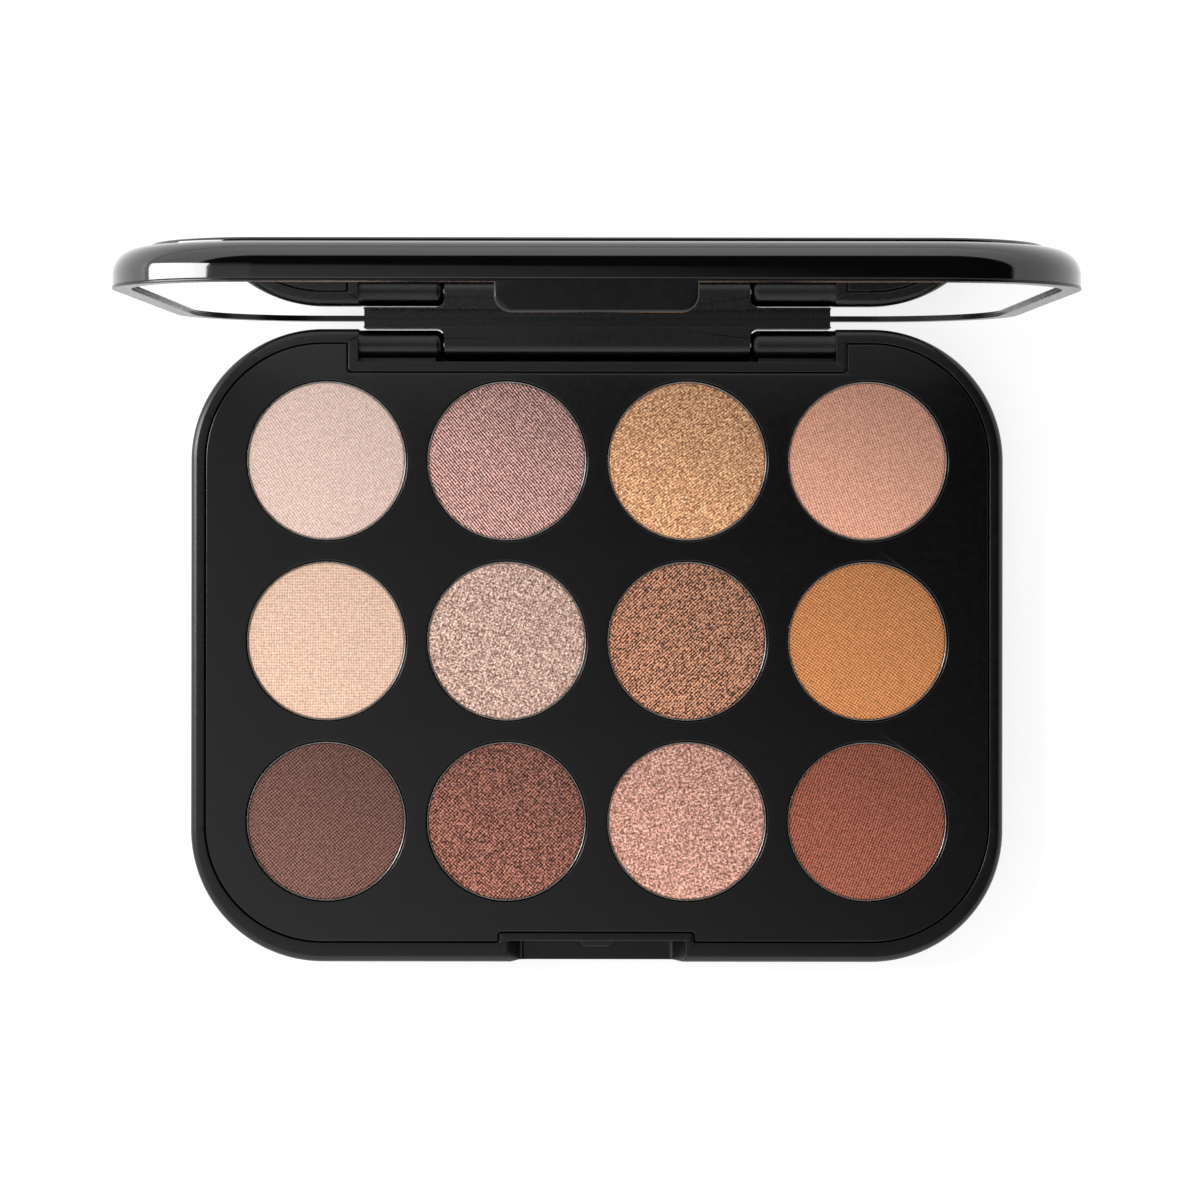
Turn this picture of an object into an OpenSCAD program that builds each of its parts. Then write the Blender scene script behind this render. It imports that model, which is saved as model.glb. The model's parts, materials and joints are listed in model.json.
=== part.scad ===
// Hinged makeup palette: twelve round pans in a flush deck, and a mirrored lid on two steel hinge pins.
// Millimetres, +Z up. X runs along the hinge and +Y points to the rear, where the hinge is.
// The origin is the centre of the flat face that the palette stands on.
// The lid is drawn shut, in the same frame as the base, and then turned open about the hinge pins.

/* [Pans] */
// Outside diameter of a pan
pan_d = 26; // [18:0.5:36]
// Height of a pan
pan_h = 4; // [2.5:0.1:5]
// Sheet metal of a pan
pan_t = 0.25; // [0.15:0.05:0.4]
// Play between a pan and its well
pan_gap = 0.15; // [0.05:0.05:0.3]
// How far a pan's rim lies below the deck
pan_sink = 0.3; // [0.1:0.05:0.6]
// How far the pressed powder lies below its pan's rim
powder_sink = 0.1; // [0:0.05:0.4]
// Rounding of the pressed powder's top edge
powder_edge_r = 0.3; // [0.1:0.05:0.5]
// Pans side by side along the hinge
columns = 4; // [4:1:6]
// Pans from front to rear
rows = 3; // [2:1:4]
// Deck left standing between two pans
land = 3.4; // [2.2:0.1:8]

/* [Base] */
// Height of the base up to its rim
base_h = 9; // [8.2:0.1:14]
// From the outermost pans to the outside, left and right
side_border = 9.2; // [7:0.1:20]
// From the front pans to the outside
front_border = 10; // [9:0.1:20]
// Width of the rim at the sides and rear
rim_w = 2.3; // [1.8:0.1:3]
// Width of the rim along the front
front_rim_w = 3.2; // [1.8:0.1:4]
// Thickness of the base's floor
floor_t = 1.5; // [1:0.1:2]
// Rounding of the rim's outer edge
rim_edge_r = 1.5; // [1.4:0.1:1.7]
// Rounding of the edge around the underside
foot_edge_r = 2; // [0.5:0.1:3]
// Width of the ledge that carries the deck
ledge_w = 0.5; // [0.3:0.05:1]

/* [Deck] */
// Thickness of the deck plate
deck_t = 1.4; // [1:0.1:2]
// Open groove between the deck and the rim
groove = 0.3; // [0.1:0.05:0.5]
// Wall of a pan's well
well_wall = 0.8; // [0.6:0.05:1]
// Floor of a pan's well
well_floor_t = 0.8; // [0.5:0.05:1]
// Adhesive under a pan
adhesive_t = 0.15; // [0.05:0.05:0.3]
// Diameter of the adhesive under a pan
adhesive_d = 16; // [8:0.5:17]

/* [Hinge] */
// Width of the notch in the base's rear edge
notch_w = 77.9; // [60:0.1:84]
// Base wall around the notch
notch_wall = 1.6; // [1.2:0.1:2.4]
// Radius of the hinge knuckles
knuckle_r = 2.45; // [2:0.05:2.6]
// Hinge axis below the rim
axis_drop = 3.65; // [3.5:0.05:4.2]
// Play between a knuckle and the notch's wall
knuckle_play = 0.5; // [0.2:0.05:0.7]
// Play along the hinge between neighbouring knuckles
knuckle_gap = 0.2; // [0.1:0.05:0.4]
// Length of the lid's middle knuckle
lid_knuckle_l = 50; // [30:0.5:56]
// Play at each end of the lid's hinge strap
strap_gap = 0.7; // [0.2:0.05:1]
// Rounding of a base knuckle's inner end
knuckle_edge_r = 1.2; // [0.5:0.1:1.5]
// Radius of a hinge pin
pin_r = 0.75; // [0.5:0.05:1]
// Running clearance around a pin in the lid
pin_clear = 0.05; // [0.01:0.01:0.1]
// Depth of a pin in the lid's knuckle
pin_in_lid = 9; // [5:0.5:12]
// How far the lid stands open
open_angle = 87.6; // [0:0.1:105]

/* [Lid] */
// Gap between the shut lid and the rim
lid_gap = 0.3; // [0.2:0.05:0.5]
// Thickness of the lid without its outer panel
lid_t = 5.45; // [4.6:0.05:8]
// Rounding of the lid's outer edge
lid_edge_r = 3.6; // [1:0.1:3.8]
// Thin edge of the mirror frame that shows around the lid
flange_t = 0.35; // [0.2:0.05:0.9]
// Wall of the lid shell around the mirror frame
lid_wall = 1.5; // [1.2:0.1:1.8]
// Play between the mirror frame and the lid shell
frame_gap = 0.1; // [0.05:0.05:0.2]
// From the lid's outside to its raised panel
panel_inset = 5; // [4:0.1:10]
// How deep the raised panel sits in the lid shell
panel_seat = 0.6; // [0.3:0.1:0.8]
// How far the raised panel stands proud
panel_rise = 0.65; // [0.3:0.05:1.2]
// Rounding of the raised panel's edge
panel_edge_r = 0.4; // [0.1:0.05:0.6]
// Play around the raised panel
panel_gap = 0.05; // [0.02:0.01:0.2]

/* [Mirror] */
// Width of the frame around the mirror
mirror_border = 2.6; // [2.4:0.1:8]
// How far the mirror lies below the frame
mirror_sink = 0.45; // [0.2:0.05:0.7]
// Thickness of the mirror glass
mirror_t = 1; // [0.8:0.05:1.2]
// Adhesive sheet behind the mirror
tape_t = 0.2; // [0.1:0.05:0.3]
// From the mirror's edge to its adhesive sheet
tape_inset = 4; // [2:0.5:10]
// Play around the mirror glass
mirror_gap = 0.1; // [0.05:0.05:0.3]
// Thickness of the frame behind the mirror
frame_back_t = 0.7; // [0.5:0.05:0.9]

/* [Latch] */
// Width of the latch tab on the lid
tab_w = 26.7; // [16:0.1:36]
// Length of the latch tab beyond the frame
tab_l = 4; // [3:0.1:4.5]
// Thickness of the latch tab
tab_t = 1.6; // [1.2:0.1:1.8]
// Slanted root that ties the tab's inside to the frame
tab_root = 1; // [0.6:0.1:1.2]
// Rounding of the latch tab's corners
tab_r = 2.2; // [0.5:0.1:3]
// Play at each side of the shut latch tab
tab_gap = 1.25; // [0.4:0.05:2]
// Play under the shut latch tab, for a fingertip
tab_foot_gap = 0.9; // [0.4:0.05:1.2]
// How much each side wall of the latch notch leans in
latch_lean = 2.2; // [0.5:0.1:2.5]
// Wall behind the latch notch
latch_wall = 1.2; // [1:0.1:2]
// Width of the catch where it leaves the wall
catch_w = 5.2; // [3:0.1:10]
// How far the catch stands out
catch_out = 0.9; // [0.6:0.05:1.1]
// Height of the catch
catch_h = 1; // [0.6:0.1:1.4]
// How far the catch lies below the rim
catch_sink = 0.3; // [0.1:0.05:0.6]
// Play between the catch and the hook that passes it
catch_gap = 0.08; // [0.05:0.01:0.2]
// How far the hook stands off the tab
hook_out = 1; // [0.6:0.05:1.1]
// Height of the hook
hook_h = 0.8; // [0.5:0.1:1]

/* [Hidden] */
$fn = 96;
over = 1;  // how far a cutting tool runs past the surface that it cuts

// Deck and base
pitch = pan_d + land;
well_r = pan_d/2 + pan_gap;
well_out_r = well_r + well_wall;
notch_d = 2*knuckle_r + knuckle_play;
// The rear pans stand just clear of the ledge in front of the hinge notch.
ledge_play = 0.1;
rear_border = notch_d + notch_wall + ledge_w + ledge_play + well_wall + pan_gap;
base_w = columns*pan_d + (columns - 1)*land + 2*side_border;
base_d = rows*pan_d + (rows - 1)*land + front_border + rear_border;
// The rear corners run around the corner pans.
corner_r = pan_d/2 + min(side_border, rear_border);
front_y = -base_d/2;
rear_y = base_d/2;
grid_y = (front_border - rear_border)/2;
pan_top_z = base_h - pan_sink;
pan_foot_z = pan_top_z - pan_h;
well_floor_z = pan_foot_z - adhesive_t;
// Row by row from the rear left, as the pans are numbered.
PAN_NUMBERS = [1:columns*rows];
function pan_place(n) = [
    (((n - 1) % columns) - (columns - 1)/2)*pitch,
    grid_y + ((rows - 1)/2 - floor((n - 1)/columns))*pitch
];

// Hinge
hinge_y = rear_y - knuckle_r;
hinge_z = base_h - axis_drop;
strap_w = notch_w - 2*strap_gap;
base_knuckle_x = lid_knuckle_l/2 + knuckle_gap;
pin_bore_end_x = notch_w/2 + notch_wall - knuckle_gap;
pin_end_gap = 0.5;

// Lid, shut
lid_z = base_h + lid_gap;
mirror_z = lid_z + mirror_sink;
tape_z = mirror_z + mirror_t;
frame_seat_z = tape_z + tape_t;
frame_top_z = frame_seat_z + frame_back_t;
cavity_top_z = frame_top_z + frame_gap;
lid_top_z = lid_z + lid_t;
panel_seat_z = lid_top_z - panel_seat;

// Latch: the tab lies flush with the front, and its hook ends below the catch.
latch_w = tab_w + 2*tab_gap;
latch_h = tab_l - lid_gap + tab_foot_gap;
latch_d = tab_t + hook_out + catch_gap + catch_out;
tab_back_y = front_y + tab_t;
catch_taper = 0.5;

// The powders, from the rear left.
POWDER_COLOURS = [
    [0.85, 0.75, 0.70], [0.65, 0.51, 0.48], [0.74, 0.56, 0.42], [0.74, 0.55, 0.47],
    [0.90, 0.75, 0.66], [0.75, 0.63, 0.57], [0.60, 0.43, 0.34], [0.72, 0.48, 0.31],
    [0.46, 0.33, 0.29], [0.52, 0.34, 0.29], [0.76, 0.57, 0.51], [0.55, 0.32, 0.25]
];
satin_black = [0.10, 0.10, 0.11];
gloss_black = [0.04, 0.04, 0.05];
tin = [0.78, 0.78, 0.76];
steel = [0.66, 0.66, 0.68];
silver = [0.85, 0.88, 0.90];
tape_white = [0.93, 0.92, 0.88];

// A rectangle with round corners, centred on the origin.
module round_outline(w, d, r) {
    square([w - 2*r, d], center = true);
    square([w, d - 2*r], center = true);
    for (sx = [-1, 1], sy = [-1, 1])
        translate([sx*(w/2 - r), sy*(d/2 - r)]) circle(r);
}

// A slab's section from a corner's centre outwards, with its upper and lower edges rounded.
module edge_section(r, h, top_r, foot_r) {
    difference() {
        square([r, h]);
        if (top_r > 0) translate([r - top_r, h - top_r]) difference() {
            square(top_r + over);
            circle(top_r);
        }
        if (foot_r > 0) translate([r - foot_r, foot_r]) mirror([0, 1]) difference() {
            square(foot_r + over);
            circle(foot_r);
        }
    }
}

// A slab with round corners and rounded edges, standing on z = 0.
module soft_slab(w, d, r, h, top_r = 0, foot_r = 0) {
    run_x = w - 2*r;
    run_y = d - 2*r;
    translate([-run_x/2, -run_y/2, 0]) cube([run_x, run_y, h]);
    for (turn = [0, 180]) rotate(turn) {
        translate([run_x/2, run_y/2, 0]) rotate([90, 0, 0])
            linear_extrude(run_y) edge_section(r, h, top_r, foot_r);
        translate([-run_x/2, run_y/2, 0]) rotate([90, 0, 90])
            linear_extrude(run_x) edge_section(r, h, top_r, foot_r);
        translate([run_x/2, run_y/2, 0])
            rotate_extrude(angle = 90) edge_section(r, h, top_r, foot_r);
        translate([-run_x/2, run_y/2, 0]) rotate(90)
            rotate_extrude(angle = 90) edge_section(r, h, top_r, foot_r);
    }
}

// The lid's parts are drawn shut, and this stands them open.
module opened() {
    translate([0, hinge_y, hinge_z]) rotate([-open_angle, 0, 0])
        translate([0, -hinge_y, -hinge_z]) children();
}

// A cylinder along X between two places on the hinge axis.
module on_axis(x0, x1, r) {
    translate([x0, hinge_y, hinge_z]) rotate([0, 90, 0]) cylinder(r = r, h = x1 - x0);
}

// The outline that the deck fills, drawn in from the rim by an inset, and stepping around both notches.
module deck_outline(inset) {
    block_r = 0.6;
    notch_block_w = notch_w + 2*(notch_wall + inset);
    notch_block_d = notch_d + notch_wall + inset;
    latch_block_w = latch_w + 2*(latch_wall + inset);
    latch_block_d = latch_d + latch_wall + inset;
    rim_in = rim_w + inset;
    front_extra = front_rim_w - rim_w;
    difference() {
        translate([0, front_extra/2])
            round_outline(base_w - 2*rim_in, base_d - 2*rim_in - front_extra, corner_r - rim_in);
        translate([0, rear_y - notch_block_d/2 + block_r])
            round_outline(notch_block_w, notch_block_d + 2*block_r, block_r);
        translate([0, front_y + latch_block_d/2 - block_r])
            round_outline(latch_block_w, latch_block_d + 2*block_r, block_r);
    }
}

module rear_notch_cut() {
    translate([-notch_w/2, rear_y - notch_d, floor_t]) cube([notch_w, notch_d + over, base_h]);
}

// The side walls lean in towards the notch's floor. The latch notch is open at the front and above.
module latch_notch_cut() {
    low = base_h - latch_h;
    lean = latch_lean*(latch_h + over)/latch_h;
    translate([0, front_y + latch_d, 0]) rotate([90, 0, 0]) linear_extrude(latch_d + over)
        polygon([
            [-latch_w/2 + latch_lean, low],
            [latch_w/2 - latch_lean, low],
            [latch_w/2 - latch_lean + lean, base_h + over],
            [-latch_w/2 + latch_lean - lean, base_h + over]
        ]);
}

// A small wedge on the back wall of the latch notch, which the lid's hook snaps under.
module catch() {
    root = front_y + latch_d;
    translate([0, 0, base_h - catch_sink - catch_h]) linear_extrude(catch_h)
        polygon([
            [-catch_w/2, root + latch_wall/2],
            [-catch_w/2, root],
            [-catch_w/2 + catch_taper, root - catch_out],
            [catch_w/2 - catch_taper, root - catch_out],
            [catch_w/2, root],
            [catch_w/2, root + latch_wall/2]
        ]);
}

// A knuckle at one end of the hinge notch, with a rounded inner end and a web to the notch's wall.
module base_knuckle(side) {
    root_x = notch_w/2 + notch_wall/2;
    length = root_x - base_knuckle_x;
    web_d = knuckle_r + knuckle_play + notch_wall/2;
    web_h = knuckle_r;
    mirror([side < 0 ? 1 : 0, 0, 0]) {
        translate([root_x, hinge_y, hinge_z]) rotate([0, -90, 0]) rotate_extrude()
            edge_section(knuckle_r, length, knuckle_edge_r, 0);
        translate([base_knuckle_x + knuckle_edge_r, hinge_y - web_d, hinge_z - web_h/2])
            cube([length - knuckle_edge_r, web_d, web_h]);
    }
}

module base_shell() {
    color(satin_black) difference() {
        union() {
            difference() {
                soft_slab(base_w, base_d, corner_r, base_h, rim_edge_r, foot_edge_r);
                translate([0, 0, base_h - deck_t]) linear_extrude(deck_t + over) deck_outline(0);
                translate([0, 0, floor_t]) linear_extrude(base_h) deck_outline(ledge_w);
                rear_notch_cut();
                latch_notch_cut();
            }
            catch();
            for (side = [-1, 1]) base_knuckle(side);
        }
        on_axis(-pin_bore_end_x, pin_bore_end_x, pin_r);
    }
}

// The plate with its wells, which stand on the base's floor. Each well has its own floor under the pan.
module deck_frame() {
    color(satin_black) difference() {
        union() {
            translate([0, 0, base_h - deck_t]) linear_extrude(deck_t) deck_outline(groove);
            for (n = PAN_NUMBERS) translate([each pan_place(n), floor_t])
                cylinder(r = well_out_r, h = base_h - floor_t);
        }
        for (n = PAN_NUMBERS) translate([each pan_place(n), 0]) {
            translate([0, 0, well_floor_z]) cylinder(r = well_r, h = base_h);
            cylinder(r = well_r, h = well_floor_z - well_floor_t);
        }
    }
}

module pan(n) {
    color(tin) translate([each pan_place(n), pan_foot_z]) difference() {
        cylinder(d = pan_d, h = pan_h);
        translate([0, 0, pan_t]) cylinder(r = pan_d/2 - pan_t, h = pan_h);
    }
}

module powder(n) {
    cake_r = pan_d/2 - pan_t;
    cake_h = pan_h - pan_t - powder_sink;
    color(POWDER_COLOURS[(n - 1) % len(POWDER_COLOURS)])
        translate([each pan_place(n), pan_foot_z + pan_t])
            rotate_extrude() edge_section(cake_r, cake_h, powder_edge_r, 0);
}

module pan_adhesive() {
    color(tape_white) for (n = PAN_NUMBERS) translate([each pan_place(n), well_floor_z])
        cylinder(d = adhesive_d, h = adhesive_t);
}

// Each pin is pressed into a base knuckle and turns free in the lid's middle knuckle.
module hinge_pin(side) {
    inner = lid_knuckle_l/2 - pin_in_lid + pin_end_gap;
    color(steel) mirror([side < 0 ? 1 : 0, 0, 0]) on_axis(inner, pin_bore_end_x, pin_r);
}

// The strap seen from the front of the shut lid: wide above the base's knuckles, and narrow between them.
// The inner corners are rounded to go around the knuckles' rounded ends.
module strap_outline(top) {
    wing_z = hinge_z + knuckle_r + knuckle_gap;
    round_r = knuckle_edge_r + knuckle_gap;
    translate([-strap_w/2, wing_z]) square([strap_w, top - wing_z]);
    translate([-lid_knuckle_l/2, hinge_z]) square([lid_knuckle_l, top - hinge_z]);
    for (side = [0, 1]) mirror([side, 0]) difference() {
        translate([lid_knuckle_l/2 - over, wing_z - round_r]) square([round_r + over, round_r + over/2]);
        translate([lid_knuckle_l/2 + round_r, wing_z - round_r]) circle(round_r);
    }
}

module hinge_strap() {
    translate([0, rear_y, 0]) rotate([90, 0, 0])
        linear_extrude(2*knuckle_r) strap_outline(lid_z + flange_t);
    on_axis(-lid_knuckle_l/2, lid_knuckle_l/2, knuckle_r);
}

// The tab hangs from the frame's front edge, with a slanted root and a hook along its inside.
module latch_tab() {
    foot = lid_z - tab_l;
    root_w = tab_w - 2*tab_r;
    hook_top = base_h - catch_sink - catch_h - catch_gap;
    translate([0, tab_back_y, 0]) rotate([90, 0, 0]) linear_extrude(tab_t) {
        translate([-tab_w/2, foot + tab_r]) square([tab_w, tab_l - tab_r + flange_t]);
        translate([-tab_w/2 + tab_r, foot]) square([tab_w - 2*tab_r, tab_l]);
        for (side = [-1, 1]) translate([side*(tab_w/2 - tab_r), foot + tab_r]) circle(tab_r);
    }
    translate([-root_w/2, tab_back_y, lid_z]) rotate([90, 0, 90]) linear_extrude(root_w)
        polygon([
            [-tab_t/2, -tab_root],
            [0, -tab_root],
            [tab_root, 0],
            [tab_root, flange_t],
            [-tab_t/2, flange_t]
        ]);
    translate([-catch_w/2, tab_back_y - tab_t/2, hook_top - hook_h])
        cube([catch_w, tab_t/2 + hook_out, hook_h]);
}

module mirror_frame() {
    tray_in = lid_wall + frame_gap;
    pocket_in = mirror_border;
    color(gloss_black) opened() difference() {
        union() {
            translate([0, 0, lid_z]) linear_extrude(flange_t) round_outline(base_w, base_d, corner_r);
            translate([0, 0, lid_z]) linear_extrude(frame_top_z - lid_z)
                round_outline(base_w - 2*tray_in, base_d - 2*tray_in, corner_r - tray_in);
            hinge_strap();
            latch_tab();
        }
        translate([0, 0, lid_z - over]) linear_extrude(frame_seat_z - lid_z + over)
            round_outline(base_w - 2*pocket_in, base_d - 2*pocket_in, corner_r - pocket_in);
        for (side = [0, 1]) mirror([side, 0, 0])
            on_axis(lid_knuckle_l/2 - pin_in_lid, lid_knuckle_l/2 + over, pin_r + pin_clear);
    }
}

module lid_shell() {
    shell_foot_z = lid_z + flange_t;
    color(gloss_black) opened() difference() {
        translate([0, 0, shell_foot_z])
            soft_slab(base_w, base_d, corner_r, lid_top_z - shell_foot_z, lid_edge_r);
        translate([0, 0, shell_foot_z - over]) linear_extrude(cavity_top_z - shell_foot_z + over)
            round_outline(base_w - 2*lid_wall, base_d - 2*lid_wall, corner_r - lid_wall);
        translate([0, 0, panel_seat_z]) linear_extrude(panel_seat + over)
            round_outline(base_w - 2*panel_inset, base_d - 2*panel_inset, corner_r - panel_inset);
    }
}

module lid_panel() {
    inset = panel_inset + panel_gap;
    panel_t = panel_seat + panel_rise;
    color(gloss_black) opened() translate([0, 0, panel_seat_z])
        soft_slab(base_w - 2*inset, base_d - 2*inset, corner_r - inset, panel_t, panel_edge_r);
}

module mirror_glass() {
    inset = mirror_border + mirror_gap;
    color(silver) opened() translate([0, 0, mirror_z]) linear_extrude(mirror_t)
        round_outline(base_w - 2*inset, base_d - 2*inset, corner_r - inset);
}

module mirror_tape() {
    inset = mirror_border + tape_inset;
    color(tape_white) opened() translate([0, 0, tape_z]) linear_extrude(tape_t)
        round_outline(base_w - 2*inset, base_d - 2*inset, corner_r - inset);
}

base_shell();
deck_frame();
for (n = PAN_NUMBERS) pan(n);
for (n = PAN_NUMBERS) powder(n);
pan_adhesive();
hinge_pin(-1);  // hinge_pin_left
hinge_pin(1);  // hinge_pin_right
mirror_frame();
lid_shell();
lid_panel();
mirror_tape();
mirror_glass();
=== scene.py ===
"""The eyeshadow palette's looks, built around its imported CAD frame. Metres, in the row's own frame.

The base and its deck, pans and powders ride on body "base". The lid's pieces are drawn shut, as in the CAD
source, and stood open about the hinge, and they ride on body "lid".
"""

import json
import math

import bmesh
import bpy
from mathutils import Matrix, Vector
from mathutils.geometry import tessellate_polygon


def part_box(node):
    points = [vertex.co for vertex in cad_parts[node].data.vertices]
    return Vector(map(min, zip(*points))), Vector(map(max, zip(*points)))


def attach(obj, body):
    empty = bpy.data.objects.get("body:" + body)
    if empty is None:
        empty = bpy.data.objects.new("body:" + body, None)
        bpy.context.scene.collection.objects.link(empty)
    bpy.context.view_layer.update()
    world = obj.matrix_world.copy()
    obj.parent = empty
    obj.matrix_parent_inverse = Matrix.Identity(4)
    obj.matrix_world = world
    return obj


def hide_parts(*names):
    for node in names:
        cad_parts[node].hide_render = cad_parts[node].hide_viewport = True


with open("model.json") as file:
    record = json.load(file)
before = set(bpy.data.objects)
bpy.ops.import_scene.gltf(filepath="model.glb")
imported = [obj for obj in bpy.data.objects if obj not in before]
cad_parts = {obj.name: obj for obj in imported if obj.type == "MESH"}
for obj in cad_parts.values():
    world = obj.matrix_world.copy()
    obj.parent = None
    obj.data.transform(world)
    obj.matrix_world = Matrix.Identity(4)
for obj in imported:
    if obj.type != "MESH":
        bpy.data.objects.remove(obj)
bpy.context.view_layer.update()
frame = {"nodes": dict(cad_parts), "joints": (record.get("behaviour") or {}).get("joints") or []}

MM = 0.001

# ---- Sizes read from the frame -----------------------------------------------------------------------------

BASE_LOW, BASE_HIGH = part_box("base_shell")
BASE_W = BASE_HIGH.x - BASE_LOW.x
BASE_D = BASE_HIGH.y - BASE_LOW.y
BASE_H = BASE_HIGH.z
FRONT_Y, REAR_Y = BASE_LOW.y, BASE_HIGH.y
PAN_NUMBERS = range(1, 13)

HINGE = frame["joints"][0]
HINGE_Y, HINGE_Z = HINGE["pos_m"][1], HINGE["pos_m"][2]
OPEN_ANGLE = math.radians(HINGE["range_deg"][1])
KNUCKLE_R = REAR_Y - HINGE_Y

# ---- Sizes that the frame's boxes don't hold, as in the CAD source -----------------------------------------

RIM_W = 2.3*MM
FRONT_RIM_W = 3.2*MM
RIM_EDGE_R = 1.5*MM
RIM_CREASE = 15          # degrees: the rounding starts from the flat rim with a slight crease
FOOT_EDGE_R = 2.0*MM
FLOOR_T = 1.5*MM
LEDGE_W = 0.5*MM
DECK_T = 1.4*MM
GROOVE = 0.3*MM
CORNER_R = 21.55*MM
DETOUR_R = 0.4*MM

WELL_WALL = 0.8*MM
WELL_FLOOR_T = 0.8*MM
PAN_GAP = 0.15*MM
PAN_T = 0.25*MM
PAN_FOOT_R = 0.6*MM
CAKE_EDGE_R = 0.3*MM
CAKE_FOOT_R = 0.5*MM

NOTCH_W = 77.9*MM
NOTCH_D = 5.4*MM
NOTCH_WALL = 1.6*MM
STRAP_W = 76.5*MM
LID_KNUCKLE_L = 50*MM
KNUCKLE_GAP = 0.2*MM
KNUCKLE_EDGE_R = 1.2*MM
PIN_BORE_R = 0.8*MM
PIN_IN_LID = 9*MM

LID_GAP = 0.3*MM
LID_T = 5.45*MM
LID_EDGE_R = 3.6*MM
FLANGE_T = 0.35*MM
LID_WALL = 1.5*MM
FRAME_GAP = 0.1*MM
PANEL_INSET = 5.0*MM
PANEL_SEAT = 0.6*MM
PANEL_RISE = 0.65*MM
PANEL_GAP = 0.05*MM
PANEL_EDGE_R = 0.4*MM
MIRROR_BORDER = 2.6*MM
MIRROR_SINK = 0.45*MM
MIRROR_T = 1.0*MM
MIRROR_GAP = 0.1*MM
MIRROR_GROUND = 0.15*MM
TAPE_T = 0.2*MM
FRAME_BACK_T = 0.7*MM

TAB_W = 26.7*MM
TAB_L = 4.0*MM
TAB_T = 1.6*MM
TAB_ROOT = 1.0*MM
TAB_R = 2.2*MM
TAB_EDGE_R = 0.3*MM      # the rounding around the tab's outside
LATCH_W = 29.2*MM
LATCH_D = 3.58*MM
LATCH_H = 4.6*MM
LATCH_LEAN = 2.2*MM
LATCH_WALL = 1.2*MM
LATCH_FLOOR_R = 0.8*MM
CATCH_W = 5.2*MM
CATCH_OUT = 0.9*MM
CATCH_H = 1.0*MM
CATCH_SINK = 0.3*MM
CATCH_TAPER = 0.5*MM
HOOK_OUT = 1.0*MM
HOOK_H = 0.8*MM
HOOK_DROP = 0.08*MM

LID_Z = BASE_H + LID_GAP
MIRROR_Z = LID_Z + MIRROR_SINK
FRAME_SEAT_Z = MIRROR_Z + MIRROR_T + TAPE_T
FRAME_TOP_Z = FRAME_SEAT_Z + FRAME_BACK_T
LID_TOP_Z = LID_Z + LID_T

# ---- Mesh detail -------------------------------------------------------------------------------------------

CORNER_STEPS = 40       # segments in a large corner
FILLET_STEPS = 10       # segments in an edge's rounding
LID_FILLET_STEPS = 18   # segments in the lid's large outer rounding
SMALL_STEPS = 6         # segments in a small corner
TAB_CORNER_STEPS = 12   # segments in a corner of the latch tab
TAB_EDGE_STEPS = 4      # segments in the rounding around the latch tab
ROUND_STEPS = 128       # segments around a pan
CAKE_RINGS = 12         # rings on a powder's flat top
EDGE_BREAK = 0.12*MM    # the small rounding that every moulded edge has
BREAK_STEPS = 3         # segments in that rounding
BREAK_FROM = math.radians(30)   # an edge that turns by more than this gets that rounding
LARGE_R = 5*MM          # a corner with a larger radius gets CORNER_STEPS
BORE_STEPS = 48         # segments around a pin's bore
STRAP_STEPS = 30        # segments around the hinge strap's underside
KNUCKLE_STEPS = 64      # segments around a base knuckle
OVER = 1*MM             # how far a cutting tool runs past what it cuts
WELD = 0.002*MM         # points closer than this are one point
NEAR = 0.05*MM          # a point this close to a plane counts as on it


# ---- Outlines ----------------------------------------------------------------------------------------------

def soft_polygon(corners, steps=SMALL_STEPS):
    """Points around a polygon of (x, y, radius) corners, with each corner rounded to its radius."""
    points = []
    count = len(corners)
    for i, (x, y, radius) in enumerate(corners):
        here = Vector((x, y))
        if radius <= 0:
            points.append((x, y))
            continue
        before = (Vector(corners[i - 1][:2]) - here).normalized()
        after = (Vector(corners[(i + 1) % count][:2]) - here).normalized()
        half = before.angle(after)/2
        reach = radius/math.tan(half)
        centre = here + (before + after).normalized()*(radius/math.sin(half))
        start = here + before*reach - centre
        turn = math.pi - 2*half
        if before.x*after.y - before.y*after.x > 0:
            turn = -turn
        segments = CORNER_STEPS if radius > LARGE_R else steps
        for k in range(segments + 1):
            spoke = start.copy()
            spoke.rotate(Matrix.Rotation(turn*k/segments, 2))
            points.append(tuple(centre + spoke))
    return points


def round_rect(inset=0.0):
    """The palette's outline, drawn in by an inset."""
    w, d, r = BASE_W/2 - inset, BASE_D/2 - inset, CORNER_R - inset
    return soft_polygon([(-w, -d, r), (w, -d, r), (w, d, r), (-w, d, r)])


def deck_outline(inset):
    """The outline that the deck fills, drawn in from the rim, and stepping around both notches."""
    side = BASE_W/2 - RIM_W - inset
    front = FRONT_Y + FRONT_RIM_W + inset
    rear = REAR_Y - RIM_W - inset
    r = CORNER_R - RIM_W - inset
    notch_x = NOTCH_W/2 + NOTCH_WALL + inset
    notch_y = REAR_Y - NOTCH_D - NOTCH_WALL - inset
    latch_x = LATCH_W/2 + LATCH_WALL + inset
    latch_y = FRONT_Y + LATCH_D + LATCH_WALL + inset
    out_r = DETOUR_R + inset
    in_r = DETOUR_R - inset
    return soft_polygon([
        (-side, front, r),
        (-latch_x, front, in_r), (-latch_x, latch_y, out_r),
        (latch_x, latch_y, out_r), (latch_x, front, in_r),
        (side, front, r), (side, rear, r),
        (notch_x, rear, in_r), (notch_x, notch_y, out_r),
        (-notch_x, notch_y, out_r), (-notch_x, rear, in_r),
        (-side, rear, r),
    ])


def circle(centre, radius, steps=ROUND_STEPS):
    return [
        (centre[0] + radius*math.cos(2*math.pi*k/steps), centre[1] + radius*math.sin(2*math.pi*k/steps))
        for k in range(steps)
    ]


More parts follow.
